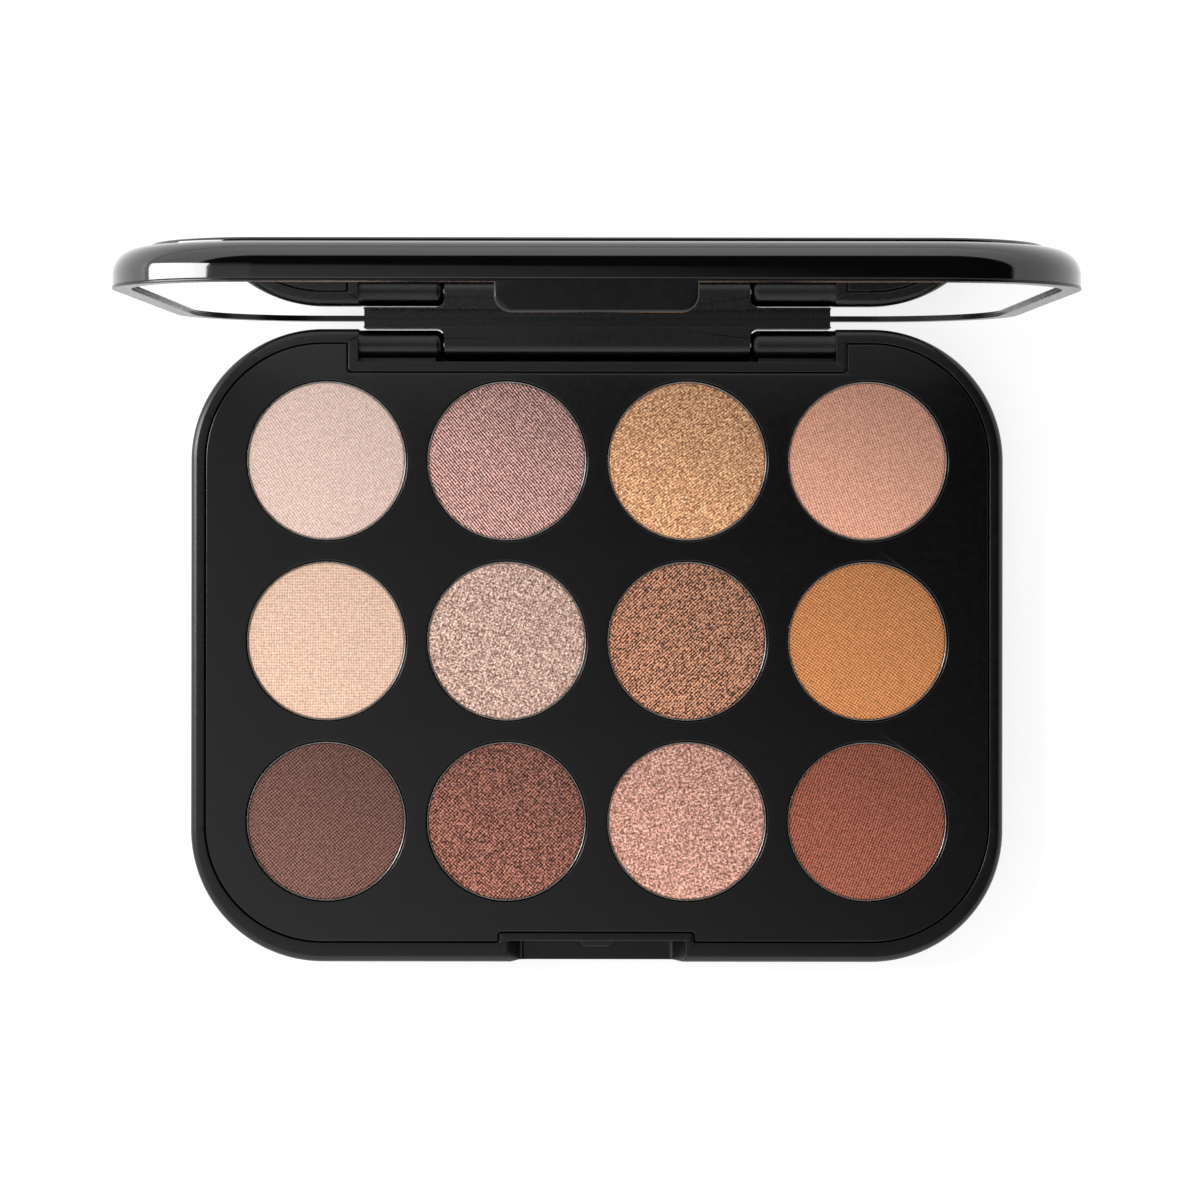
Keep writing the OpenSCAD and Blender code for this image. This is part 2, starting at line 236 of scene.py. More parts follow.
def at_height(points, z):
    return [(x, y, z) for x, y in points]


# ---- Meshes ------------------------------------------------------------------------------------------------

def mesh_object(name, verts, faces):
    mesh = bpy.data.meshes.new(name)
    mesh.from_pydata([tuple(v) for v in verts], [], faces)
    work = bmesh.new()
    work.from_mesh(mesh)
    bmesh.ops.remove_doubles(work, verts=work.verts, dist=1e-8)
    bmesh.ops.recalc_face_normals(work, faces=work.faces)
    work.to_mesh(mesh)
    work.free()
    piece = bpy.data.objects.new(name, mesh)
    bpy.context.scene.collection.objects.link(piece)
    return piece


def loft(name, rings):
    """A skin through rings of equal length, closed by a flat face at each end."""
    count = len(rings[0])
    verts = [point for ring in rings for point in ring]
    faces = []
    for level in range(len(rings) - 1):
        low, high = level*count, (level + 1)*count
        for k in range(count):
            nxt = (k + 1) % count
            faces.append((low + k, low + nxt, high + nxt, high + k))
    faces.append(tuple(range(count - 1, -1, -1)))
    faces.append(tuple(range(len(verts) - count, len(verts))))
    return mesh_object(name, verts, faces)


def prism(name, outline, z0, z1):
    return loft(name, [at_height(outline, z0), at_height(outline, z1)])


def prism_y(name, outline_xz, y0, y1):
    """An outline in X and Z, drawn along Y."""
    return loft(name, [[(x, y, z) for x, z in outline_xz] for y in (y0, y1)])


def prism_x(name, outline_yz, x0, x1):
    """An outline in Y and Z, drawn along X."""
    return loft(name, [[(x, y, z) for y, z in outline_yz] for x in (x0, x1)])


def lathe(name, profile, centre):
    """A closed profile of (radius, z) turned about a vertical axis. Points on the axis share one vertex."""
    verts, rings = [], []
    for radius, z in profile:
        if radius == 0:
            rings.append([len(verts)]*ROUND_STEPS)
            verts.append((centre[0], centre[1], z))
        else:
            rings.append(list(range(len(verts), len(verts) + ROUND_STEPS)))
            verts += at_height(circle(centre, radius), z)
    faces = []
    for i, low in enumerate(rings):
        high = rings[(i + 1) % len(rings)]
        for k in range(ROUND_STEPS):
            nxt = (k + 1) % ROUND_STEPS
            corners = dict.fromkeys((low[k], low[nxt], high[nxt], high[k]))
            if len(corners) > 2:
                faces.append(tuple(corners))
    return mesh_object(name, verts, faces)


def arc(centre_r, centre_z, radius, start, end):
    """Points on an arc in a profile, from one angle to another, in degrees."""
    out = []
    for k in range(SMALL_STEPS + 1):
        angle = math.radians(start + (end - start)*k/SMALL_STEPS)
        out.append((centre_r + radius*math.cos(angle), centre_z + radius*math.sin(angle)))
    return out


def join(name, pieces):
    """Several meshes as one piece of separate shells."""
    work = bmesh.new()
    for piece in pieces:
        work.from_mesh(piece.data)
    mesh = bpy.data.meshes.new(name)
    work.to_mesh(mesh)
    work.free()
    for piece in pieces:
        bpy.data.objects.remove(piece)
    joined = bpy.data.objects.new(name, mesh)
    bpy.context.scene.collection.objects.link(joined)
    return joined


def combine(piece, tool, operation):
    """Applies an exact boolean with a tool, which is then removed."""
    modifier = piece.modifiers.new("combine", "BOOLEAN")
    modifier.operation = operation
    modifier.solver = "EXACT"
    modifier.object = tool
    graph = bpy.context.evaluated_depsgraph_get()
    result = bpy.data.meshes.new_from_object(piece.evaluated_get(graph))
    piece.modifiers.clear()
    piece.data = result
    bpy.data.objects.remove(tool)


def drawn_in(loop, distance):
    """A loop with each point moved to its left, which is inwards on a loop that runs anticlockwise."""
    if distance == 0:
        return loop
    moved = []
    for i, point in enumerate(loop):
        before, after = Vector(loop[i - 1]), Vector(loop[(i + 1) % len(loop)])
        along = (after - before).normalized()
        moved.append((point[0] - along.y*distance, point[1] + along.x*distance))
    return moved


def plate_with_holes(name, outline, holes, z0, z1, edge_r):
    """A flat plate whose top edges, outside and around each hole, are rounded."""
    verts, faces, tops, feet = [], [], [], []
    for index, loop in enumerate([outline, *holes]):
        inward = 1 if index == 0 else -1
        levels = [
            (edge_r*(1 - math.cos(angle)), z1 - edge_r*(1 - math.sin(angle)))
            for angle in (math.radians(90*k/BREAK_STEPS) for k in range(BREAK_STEPS, -1, -1))
        ]
        levels.append((0, z0))
        rings = []
        for inset, z in levels:
            rings.append(list(range(len(verts), len(verts) + len(loop))))
            verts += at_height(drawn_in(loop, inward*inset), z)
        for low, high in zip(rings, rings[1:]):
            for k in range(len(loop)):
                nxt = (k + 1) % len(loop)
                faces.append((low[k], low[nxt], high[nxt], high[k]))
        tops.append(rings[0])
        feet.append(rings[-1])
    for level in (tops, feet):
        order = [i for ring in level for i in ring]
        for triangle in tessellate_polygon([[Vector(verts[i]) for i in ring] for ring in level]):
            faces.append(tuple(order[i] for i in triangle))
    return mesh_object(name, verts, faces)


def stand_open(piece):
    """Turns a piece that is drawn shut to where the lid stands open."""
    pivot = Matrix.Translation((0, HINGE_Y, HINGE_Z))
    piece.data.transform(pivot @ Matrix.Rotation(-OPEN_ANGLE, 4, "X") @ pivot.inverted())


def clean(piece):
    """Welds the points that a boolean leaves on top of each other, and cuts large faces into triangles."""
    work = bmesh.new()
    work.from_mesh(piece.data)
    bmesh.ops.remove_doubles(work, verts=work.verts, dist=WELD)
    bmesh.ops.dissolve_degenerate(work, edges=work.edges, dist=WELD)
    bmesh.ops.triangulate(work, faces=[f for f in work.faces if len(f.verts) > 4])
    work.to_mesh(piece.data)
    work.free()


def weigh_edges(piece, crowded):
    """Marks the edges to round: the sharp ones, but not where crowded(point) is true at both ends."""
    work = bmesh.new()
    work.from_mesh(piece.data)
    weights = work.edges.layers.float.new("bevel_weight_edge")
    for edge in work.edges:
        sharp = len(edge.link_faces) == 2 and edge.calc_face_angle() > BREAK_FROM
        edge[weights] = float(sharp and not all(crowded(vert.co) for vert in edge.verts))
    work.to_mesh(piece.data)
    work.free()


def smooth(piece, sharp_angle=40, break_edges=0.0, crowded=lambda point: False):
    """Smooth shading that keeps flats flat, with a small rounding on the sharp edges if asked for."""
    clean(piece)
    piece.data.polygons.foreach_set("use_smooth", [True]*len(piece.data.polygons))
    if break_edges:
        weigh_edges(piece, crowded)
        bevel = piece.modifiers.new("edge break", "BEVEL")
        bevel.width = break_edges
        bevel.segments = BREAK_STEPS
        bevel.limit_method = "WEIGHT"
        bevel.use_clamp_overlap = False
        bevel.miter_outer = "MITER_ARC"
    else:
        piece.data.set_sharp_from_angle(angle=math.radians(sharp_angle))
    weighted = piece.modifiers.new("flat faces", "WEIGHTED_NORMAL")
    weighted.keep_sharp = True
    weighted.weight = 100
    piece.data.update()


def finish_piece(piece, material, body, slot, *nodes):
    piece.data.materials.clear()
    piece.data.materials.append(material)
    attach(piece, body)
    if nodes:
        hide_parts(*nodes)


# ---- Base --------------------------------------------------------------------------------------------------

def base_rings():
    """The base's skin from the underside up, with both outer edges rounded."""
    rings = []
    for k in range(FILLET_STEPS + 1):
        angle = math.radians(90*k/FILLET_STEPS)
        inset, rise = FOOT_EDGE_R*(1 - math.sin(angle)), FOOT_EDGE_R*(1 - math.cos(angle))
        rings.append(at_height(round_rect(inset), rise))
    crease = math.radians(RIM_CREASE)
    for k in range(FILLET_STEPS + 1):
        angle = (math.pi/2 - crease)*k/FILLET_STEPS
        drop = RIM_EDGE_R*(math.cos(crease) - math.sin(angle))
        rings.append(at_height(round_rect(RIM_EDGE_R*(1 - math.cos(angle))), BASE_H - drop))
    return rings


def base_knuckle(side):
    """A hinge knuckle with a rounded inner end, and the web that joins it to the notch's wall."""
    root_x = NOTCH_W/2 + NOTCH_WALL/2
    tip_x = LID_KNUCKLE_L/2 + KNUCKLE_GAP
    stations = [(root_x, KNUCKLE_R)]
    for k in range(SMALL_STEPS + 1):
        angle = math.radians(90*k/SMALL_STEPS)
        stations.append((
            tip_x + KNUCKLE_EDGE_R*(1 - math.sin(angle)),
            KNUCKLE_R - KNUCKLE_EDGE_R*(1 - math.cos(angle)),
        ))
    rings = [
        [(side*x, y, z) for y, z in circle((HINGE_Y, HINGE_Z), radius, KNUCKLE_STEPS)]
        for x, radius in stations
    ]
    knuckle = loft("knuckle", rings)
    web_y = REAR_Y - NOTCH_D - NOTCH_WALL/2
    low, high = HINGE_Z - KNUCKLE_R/2, HINGE_Z + KNUCKLE_R/2
    web_outline = [(web_y, low), (HINGE_Y, low), (HINGE_Y, high), (web_y, high)]
    web = prism_x("web", web_outline, side*(tip_x + KNUCKLE_EDGE_R), side*root_x)
    combine(knuckle, web, "UNION")
    return knuckle


def rear_notch_tool():
    x, y = NOTCH_W/2, REAR_Y - NOTCH_D
    corners = [(-x, REAR_Y + OVER, 0), (-x, y, DETOUR_R/2), (x, y, DETOUR_R/2), (x, REAR_Y + OVER, 0)]
    return prism("notch tool", soft_polygon(corners), FLOOR_T, BASE_H + OVER)


def latch_notch_tool():
    """Leaning side walls that turn into the notch's floor on a radius."""
    low, high = BASE_H - LATCH_H, BASE_H + OVER
    foot = LATCH_W/2 - LATCH_LEAN
    top = foot + LATCH_LEAN*(LATCH_H + OVER)/LATCH_H
    outline = soft_polygon([
        (-top, high, 0), (-foot, low, LATCH_FLOOR_R), (foot, low, LATCH_FLOOR_R), (top, high, 0),
    ])
    return prism_y("latch tool", outline, FRONT_Y - OVER, FRONT_Y + LATCH_D)


def catch_wedge():
    root, tip = FRONT_Y + LATCH_D, FRONT_Y + LATCH_D - CATCH_OUT
    back, half = root + LATCH_WALL/2, CATCH_W/2
    top = BASE_H - CATCH_SINK
    outline = [
        (-half, back), (-half, root), (-half + CATCH_TAPER, tip),
        (half - CATCH_TAPER, tip), (half, root), (half, back),
    ]
    return prism("catch", outline, top - CATCH_H, top)


def knuckle_meets_rear_wall(point):
    """Where the knuckle meets the corner of the notch and the rear wall, and edges lie too close to round."""
    return abs(abs(point.x) - NOTCH_W/2) < NEAR and point.y > REAR_Y - 2*RIM_EDGE_R


def make_base_shell(material):
    shell = loft("base_shell_skin", base_rings())
    combine(shell, prism("recess", deck_outline(0), BASE_H - DECK_T, BASE_H + OVER), "DIFFERENCE")
    combine(shell, prism("inside", deck_outline(LEDGE_W), FLOOR_T, BASE_H + OVER), "DIFFERENCE")
    combine(shell, rear_notch_tool(), "DIFFERENCE")
    combine(shell, latch_notch_tool(), "DIFFERENCE")
    combine(shell, catch_wedge(), "UNION")
    for side in (-1, 1):
        combine(shell, base_knuckle(side), "UNION")
    smooth(shell, break_edges=EDGE_BREAK, crowded=knuckle_meets_rear_wall)
    finish_piece(shell, material, "base", "base_plastic", "base_shell")


def pan_centre(number):
    low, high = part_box(f"pan_{number}")
    return ((low.x + high.x)/2, (low.y + high.y)/2)


def adhesive_t():
    low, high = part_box("pan_adhesive")
    return high.z - low.z


def make_deck(material):
    """The plate with its round holes, and a well below each hole."""
    low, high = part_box("pan_1")
    well_r = (high.x - low.x)/2 + PAN_GAP
    well_floor = low.z - adhesive_t()
    holes = [circle(pan_centre(n), well_r) for n in PAN_NUMBERS]
    plate = plate_with_holes("plate", deck_outline(GROOVE), holes, BASE_H - DECK_T, BASE_H, EDGE_BREAK)
    out_r = well_r + WELL_WALL
    under = well_floor - WELL_FLOOR_T
    profile = [
        (out_r, FLOOR_T), (out_r, BASE_H - DECK_T), (well_r, BASE_H - DECK_T), (well_r, well_floor),
        (0, well_floor), (0, under), (well_r, under), (well_r, FLOOR_T),
    ]
    wells = [lathe("well", profile, pan_centre(n)) for n in PAN_NUMBERS]
    deck = join("deck_plate", [plate, *wells])
    smooth(deck)
    finish_piece(deck, material, "base", "deck_plastic", "deck_frame")


def make_pan(number, material):
    """A pressed cup with a rounded foot and a rounded lip."""
    low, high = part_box(f"pan_{number}")
    r, foot, top = (high.x - low.x)/2, low.z, high.z
    foot_r, lip_r = PAN_FOOT_R, PAN_T/2
    profile = [(0, foot)]
    profile += arc(r - foot_r, foot + foot_r, foot_r, -90, 0)
    profile += arc(r - lip_r, top - lip_r, lip_r, 0, 180)
    profile += arc(r - foot_r, foot + foot_r, foot_r - PAN_T, 0, -90)
    profile += [(0, foot + PAN_T)]
    pan = lathe(f"pan_cup_{number}", profile, pan_centre(number))
    smooth(pan)
    finish_piece(pan, material, "base", "pan_metal", f"pan_{number}")


def make_powder(number, material):
    """A pressed cake with a flat top that is rounded off at the very edge."""
    low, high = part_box(f"powder_{number}")
    r, foot, top = (high.x - low.x)/2, low.z, high.z
    edge_r, foot_r = CAKE_EDGE_R, CAKE_FOOT_R
    profile = [(0, top)]
    profile += [((r - edge_r)*k/CAKE_RINGS, top) for k in range(1, CAKE_RINGS)]
    profile += arc(r - edge_r, top - edge_r, edge_r, 90, 0)
    profile += arc(r - foot_r, foot + foot_r, foot_r, 0, -90)
    profile += [(0, foot)]
    cake = lathe(f"powder_cake_{number}", profile, pan_centre(number))
    smooth(cake)
    finish_piece(cake, material, "base", f"powder_{number}", f"powder_{number}")


# ---- Lid, drawn shut ---------------------------------------------------------------------------------------

def strap_solid():
    """The hinge strap: wide above the base's knuckles, and narrow and round between them."""
    front, rear = HINGE_Y - KNUCKLE_R, HINGE_Y + KNUCKLE_R
    top = LID_Z + FLANGE_T
    wing_z = HINGE_Z + KNUCKLE_R + KNUCKLE_GAP
    round_r = KNUCKLE_EDGE_R + KNUCKLE_GAP
    half, arm = LID_KNUCKLE_L/2, STRAP_W/2
    underside = []
    for k in range(STRAP_STEPS + 1):
        angle = -math.pi*k/STRAP_STEPS
        underside.append((HINGE_Y + KNUCKLE_R*math.cos(angle), HINGE_Z + KNUCKLE_R*math.sin(angle)))
    middle = prism_x("strap", [(rear, top), *underside, (front, top)], -half, half)
    fillet_z = wing_z - round_r
    outline = soft_polygon([
        (-arm, top, 0), (-arm, wing_z, DETOUR_R), (-half, wing_z, round_r), (-half, fillet_z - EDGE_BREAK, 0),
        (half, fillet_z - EDGE_BREAK, 0), (half, wing_z, round_r), (arm, wing_z, DETOUR_R), (arm, top, 0),
    ])
    combine(middle, prism_y("wings", outline, front, rear), "UNION")
    return middle


def tab_solid():
    """The latch tab and the hook on its inside."""
    foot, top = LID_Z - TAB_L, LID_Z + FLANGE_T
    half = TAB_W/2
    rings = []
    for k in range(TAB_EDGE_STEPS + 1):
        angle = math.radians(90*k/TAB_EDGE_STEPS)
        lost = TAB_EDGE_R*(1 - math.sin(angle))
        side, low, r = half - lost, foot + lost, TAB_R - lost
        y = FRONT_Y + TAB_EDGE_R*(1 - math.cos(angle))
        corners = [(-side, top, 0), (-side, low, r), (side, low, r), (side, top, 0)]
        outline = soft_polygon(corners, TAB_CORNER_STEPS)
        rings.append([(x, y, z) for x, z in outline])
    rings.append([(x, FRONT_Y + TAB_T, z) for x, y, z in rings[-1]])
    tab = loft("tab", rings)
    hook_top = BASE_H - CATCH_SINK - CATCH_H - HOOK_DROP
    back = FRONT_Y + TAB_T
    hook = prism_x("hook", [
        (back - TAB_T/2, hook_top), (back + HOOK_OUT, hook_top),
        (back + HOOK_OUT/2, hook_top - HOOK_H), (back - TAB_T/2, hook_top - HOOK_H),
    ], -CATCH_W/2, CATCH_W/2)
    combine(tab, hook, "UNION")
    root = prism_x("root", [
        (back - TAB_T/2, LID_Z - TAB_ROOT), (back, LID_Z - TAB_ROOT), (back + TAB_ROOT, LID_Z),
        (back + TAB_ROOT, top), (back - TAB_T/2, top),
    ], TAB_R - half, half - TAB_R)
    combine(tab, root, "UNION")
    return tab


def make_mirror_frame(material):
    tray_in = LID_WALL + FRAME_GAP
    shape = prism("mirror_surround", round_rect(), LID_Z, LID_Z + FLANGE_T)
    combine(shape, prism("tray", round_rect(tray_in), LID_Z + FLANGE_T/2, FRAME_TOP_Z), "UNION")
    combine(shape, strap_solid(), "UNION")
    combine(shape, tab_solid(), "UNION")
    combine(shape, prism("pocket", round_rect(MIRROR_BORDER), LID_Z - OVER, FRAME_SEAT_Z), "DIFFERENCE")
    for side in (-1, 1):
        bore = prism_x("bore", circle((HINGE_Y, HINGE_Z), PIN_BORE_R, BORE_STEPS),
                       side*(LID_KNUCKLE_L/2 - PIN_IN_LID), side*(LID_KNUCKLE_L/2 + OVER))
        combine(shape, bore, "DIFFERENCE")
    stand_open(shape)
    smooth(shape, break_edges=EDGE_BREAK/2)
    finish_piece(shape, material, "lid", "frame_plastic", "mirror_frame")


def fillet_rings(inset, z_top, radius, steps=FILLET_STEPS):
    """Rings up and over a rounded outer edge, ending on the flat above it."""
    rings = []
    for k in range(steps + 1):
        angle = math.radians(90*k/steps)
        drop = radius*(1 - math.sin(angle))
        rings.append(at_height(round_rect(inset + radius*(1 - math.cos(angle))), z_top - drop))
    return rings


def edge_break_rings(inset, z, up, angles):
    """Rings around the small rounding between a flat at height z and a wall that goes up (1) or down (-1)."""
    return [
        at_height(
            round_rect(inset + up*EDGE_BREAK*(1 - math.sin(math.radians(angle)))),
            z + up*EDGE_BREAK*(1 - math.cos(math.radians(angle))),
        )
        for angle in angles
    ]


def make_lid_shell(material):
    """The cover: its cavity for the mirror frame, its rounded outside, and the seat for the raised panel."""
    foot = LID_Z + FLANGE_T
    rings = [at_height(round_rect(LID_WALL), FRAME_TOP_Z + FRAME_GAP), at_height(round_rect(LID_WALL), foot)]
    rings += edge_break_rings(0, foot, 1, (0, 30, 60, 90))
    rings += fillet_rings(0, LID_TOP_Z, LID_EDGE_R, steps=LID_FILLET_STEPS)
    rings += edge_break_rings(PANEL_INSET, LID_TOP_Z, -1, (0, 45, 90))
    rings += [at_height(round_rect(PANEL_INSET), LID_TOP_Z - PANEL_SEAT)]
    cover = loft("lid_cover", rings)
    stand_open(cover)
    smooth(cover)
    finish_piece(cover, material, "lid", "lid_gloss", "lid_shell")


def make_lid_panel(material):
    inset = PANEL_INSET + PANEL_GAP
    seat = LID_TOP_Z - PANEL_SEAT
    rings = [at_height(round_rect(inset), seat)]
    rings += fillet_rings(inset, LID_TOP_Z + PANEL_RISE, PANEL_EDGE_R)
    panel = loft("lid_raised_panel", rings)
    stand_open(panel)
    smooth(panel)
    finish_piece(panel, material, "lid", "lid_gloss", "lid_panel")


def make_mirror(material):
    """Glass with a ground edge."""
    inset, ground = MIRROR_BORDER + MIRROR_GAP, MIRROR_GROUND
    rings = [
        at_height(round_rect(inset + ground), MIRROR_Z),
        at_height(round_rect(inset), MIRROR_Z + ground),
        at_height(round_rect(inset), MIRROR_Z + MIRROR_T),
    ]
    glass = loft("mirror_pane", rings)
    stand_open(glass)
    smooth(glass, sharp_angle=30)
    finish_piece(glass, material, "lid", "mirror_glass", "mirror_glass")


# ---- Materials ---------------------------------------------------------------------------------------------

def srgb(r, g, b):
    """A colour from its screen values, 0 to 255."""
    return [((v/255 + 0.055)/1.055)**2.4 if v > 10 else v/255/12.92 for v in (r, g, b)] + [1.0]


class Shader:
    """A material with a Principled shader, and short ways to add nodes to it."""

    def __init__(self, name):
        self.material = bpy.data.materials.new(name)
        self.material.use_nodes = True
        self.tree = self.material.node_tree
        self.main = next(n for n in self.tree.nodes if n.type == "BSDF_PRINCIPLED")
        self.coords = self.tree.nodes.new("ShaderNodeTexCoord").outputs["Object"]

    def set(self, **values):
        for key, value in values.items():
            self.main.inputs[key.replace("_", " ")].default_value = value

    def node(self, kind, **settings):
        made = self.tree.nodes.new(kind)
        for key, value in settings.items():
            setattr(made, key, value)
        return made

    def link(self, source, target):
        self.tree.links.new(source, target)

    def noise(self, scale, detail):
        """Noise with a given number of waves per metre."""
        made = self.node("ShaderNodeTexNoise")
        made.inputs["Scale"].default_value = scale
        made.inputs["Detail"].default_value = detail
        self.link(self.coords, made.inputs["Vector"])
        return made.outputs["Fac"]

    def math(self, operation, a, b=None):
        made = self.node("ShaderNodeMath", operation=operation)
        for index, value in enumerate((a, b)):
            if value is None:
                continue
            if isinstance(value, (int, float)):
                made.inputs[index].default_value = value
            else:
                self.link(value, made.inputs[index])
        return made.outputs[0]

    def ramp(self, source, stops):
        made = self.node("ShaderNodeValToRGB")
        elements = made.color_ramp.elements
        while len(elements) < len(stops):
            elements.new(0.5)
        for element, (place, colour) in zip(elements, stops):
            element.position = place
            element.color = colour
        self.link(source, made.inputs["Fac"])
        return made.outputs["Color"]

    def spread(self, source, low, high, start=0.0, end=1.0):
        """Maps start..end of a value to low..high."""
        made = self.node("ShaderNodeMapRange")
        for key, value in (("From Min", start), ("From Max", end), ("To Min", low), ("To Max", high)):
            made.inputs[key].default_value = value
        self.link(source, made.inputs["Value"])
        return made.outputs["Result"]

    def vary(self, noise, low, high):
        """Maps a noise, most of which lies between 0.3 and 0.7, to low..high."""
        return self.spread(noise, low, high, 0.3, 0.7)

    def bump(self, height, distance, strength=1.0):
        made = self.node("ShaderNodeBump")
        made.inputs["Strength"].default_value = strength
        made.inputs["Distance"].default_value = distance
        self.link(height, made.inputs["Height"])
        return made.outputs["Normal"]

    def feed(self, socket, source):
        self.link(source, self.main.inputs[socket])


def near_black(shade, factor):
    """A dark grey that is slightly blue."""
    return [shade*factor, shade*factor, shade*(factor + 0.05), 1]


def moulded_plastic(name, shade, rough, gloss):
    """Black plastic with a fine moulded grain and slightly uneven gloss."""
    s = Shader(name)
    s.set(IOR=1.5, Specular_IOR_Level=gloss)
    tones = [(0.3, near_black(shade, 0.85)), (0.7, near_black(shade, 1.15))]
    s.feed("Base Color", s.ramp(s.noise(180, 2), tones))
    s.feed("Roughness", s.vary(s.noise(900, 4), rough*0.88, rough*1.12))
    s.feed("Normal", s.bump(s.noise(2600, 2), 0.002*MM))
    return s.material


def gloss_plastic(name, shade, rough):
    """Polished black plastic: a clear coat over a dark body, with a faint flow in the moulding."""
    s = Shader(name)
    s.set(IOR=1.5, Coat_Weight=0.6, Coat_Roughness=0.07)
    tones = [(0.3, near_black(shade, 0.8)), (0.7, near_black(shade, 1.2))]
    s.feed("Base Color", s.ramp(s.noise(120, 2), tones))
    s.feed("Roughness", s.vary(s.noise(500, 3), rough*0.8, rough*1.3))
    s.feed("Normal", s.bump(s.noise(28, 1), 0.02*MM, 0.35))
    return s.material


def pressed_metal(name):
    """Thin tinned sheet, with fine drawing marks around the cup."""
    s = Shader(name)
    s.set(Metallic=1.0)
    marks = s.noise(3500, 2)
    s.feed("Base Color", s.ramp(marks, [(0.35, [0.18, 0.17, 0.16, 1]), (0.65, [0.30, 0.29, 0.27, 1])]))
    s.feed("Roughness", s.vary(s.noise(1200, 3), 0.22, 0.38))
    s.feed("Normal", s.bump(marks, 0.005*MM))
    return s.material


def steel_wire(name):
    s = Shader(name)
    s.set(Metallic=1.0)
    marks = s.noise(2500, 3)
    s.feed("Base Color", s.ramp(marks, [(0.35, [0.42, 0.42, 0.43, 1]), (0.65, [0.60, 0.60, 0.61, 1])]))
    s.feed("Roughness", s.vary(marks, 0.18, 0.32))
    return s.material


def adhesive(name):
    s = Shader(name)
    s.set(Specular_IOR_Level=0.3)
    grain = s.noise(1500, 3)
    s.feed("Base Color", s.ramp(grain, [(0.3, [0.66, 0.64, 0.58, 1]), (0.7, [0.82, 0.80, 0.75, 1])]))
    s.feed("Roughness", s.vary(grain, 0.6, 0.8))
    return s.material


def mirror_silver(name):
    """Silvered glass with the slightest unevenness."""
    s = Shader(name)
    s.set(Metallic=1.0)
    tint = s.noise(60, 2)
    s.feed("Base Color", s.ramp(tint, [(0.3, [0.90, 0.915, 0.915, 1]), (0.7, [0.93, 0.94, 0.935, 1])]))
    s.feed("Roughness", s.vary(s.noise(300, 2), 0.004, 0.012))
    return s.material


def scaled(colour, factor):
    return [min(1.0, c*factor) for c in colour[:3]] + [1.0]


def deepened(colour, factor):
    """A darker tone of a colour, which is also a richer one."""
    strongest = max(colour[:3])
    return [c*factor*(c/strongest)**((1 - factor)/2) for c in colour[:3]] + [1.0]


# How a powder is pressed, and how it comes out in this light.
POWDER_GAIN = 1.09          # how much brighter the powders all come out than their own colours
THREAD_PITCH = 0.42*MM      # of the cloth that the powder is pressed through
CROSS_PITCH = 1.08*THREAD_PITCH
GRAIN_SCALE = 2700          # grains per metre
FLAKE = 0.16*MM             # between one flake and the next
FLAKE_SHARE = 0.06          # the share of them that stand out on the most sparkling powder
RELIEF = 0.02*MM            # the height of the print and the grain
# Painted light and shade on each powder: paler towards the front left, darker towards the rear right.
PAINTED_FADE_X, PAINTED_FADE_Y = 0.45, 0.9  # the direction in which a powder darkens: to the rear, and a little to the right
PAINTED_FADE_REACH = 13*MM          # from a pan's middle to its palest and darkest places

# For pans 1 to 12: the mean colour to reach on screen (red, green, blue, 0 to 255), and a gain tuned on renders
# until it is reached. Then angle, cross, weave, grain, painted_fade (painted light and shade), pearl and
# sparkle, as powder_finish explains them.
POWDERS = [
    ((223, 195, 183), 1.11, 35, 0.3, 0.33, 0.22, 0.14, 0.0, 0.0),
    ((173, 135, 128), 1.09, 40, 0.2, 1.15, 0.55, 0.22, 0.6, 0.6),
    ((193, 146, 110), 0.83, 125, 0.3, 0.35, 0.65, 0.19, 0.6, 0.5),
    ((193, 143, 122), 0.81, 20, 0.3, 0.42, 0.28, 0.23, 0.0, 0.0),
    ((235, 197, 174), 1.045, 0, 0.5, 0.31, 0.24, 0.10, 0.0, 0.0),
    ((197, 164, 150), 0.96, 70, 0.5, 0.20, 0.75, 0.10, 0.6, 0.9),
    ((156, 111, 87), 1.01, 135, 0.3, 1.20, 1.30, 0.22, 0.6, 0.9),
    ((190, 127, 80), 0.96, 55, 0.4, 0.78, 0.28, 0.20, 0.0, 0.0),
    ((121, 86, 77), 1.10, 42, 0.5, 1.05, 0.45, 0.27, 0.0, 0.0),
    ((137, 89, 75), 1.01, 48, 0.5, 1.00, 1.05, 0.30, 0.6, 0.6),
    ((199, 150, 134), 0.87, 20, 0.5, 0.15, 0.72, 0.19, 0.6, 0.8),
    ((146, 85, 67), 0.98, 160, 0.25, 0.80, 0.42, 0.29, 0.0, 0.0),
]


def cloth_print(s, angle, cross):
    """Two sets of threads at right angles, each a wave that wanders. cross is the second set's share."""
    turned = s.node("ShaderNodeMapping")
    turned.inputs["Rotation"].default_value = (0, 0, math.radians(-angle))
    s.link(s.coords, turned.inputs["Vector"])
    split = s.node("ShaderNodeSeparateXYZ")
    s.link(turned.outputs[0], split.inputs[0])
    wander = s.vary(s.noise(300, 2), -1.2, 1.2)

    def threads(across, pitch):
        return s.math("SINE", s.math("ADD", s.math("MULTIPLY", across, 2*math.pi/pitch), wander))

    return s.math("ADD", s.math("MULTIPLY", threads(split.outputs[0], THREAD_PITCH), 1 - cross),
                  s.math("MULTIPLY", threads(split.outputs[1], CROSS_PITCH), cross))


def painted_relief_shading(s, relief, colour, pearl):
    """The powder's colour by height: painted shade, dark and rich, in the print's grooves, and a painted
    highlight, pale, on its crests.
    """
    return s.ramp(s.spread(relief, 0, 1, -1, 1), [
        (0.0, deepened(colour, 0.12 - 0.15*pearl)),
        (0.25, deepened(colour, 0.55 - 0.15*pearl)),
        (0.5, deepened(colour, 0.96 - 0.15*pearl)),
        (0.75, scaled(colour, 1.45 + 0.2*pearl)),
        (1.0, scaled(colour, 2.1 + 1.2*pearl)),
    ])


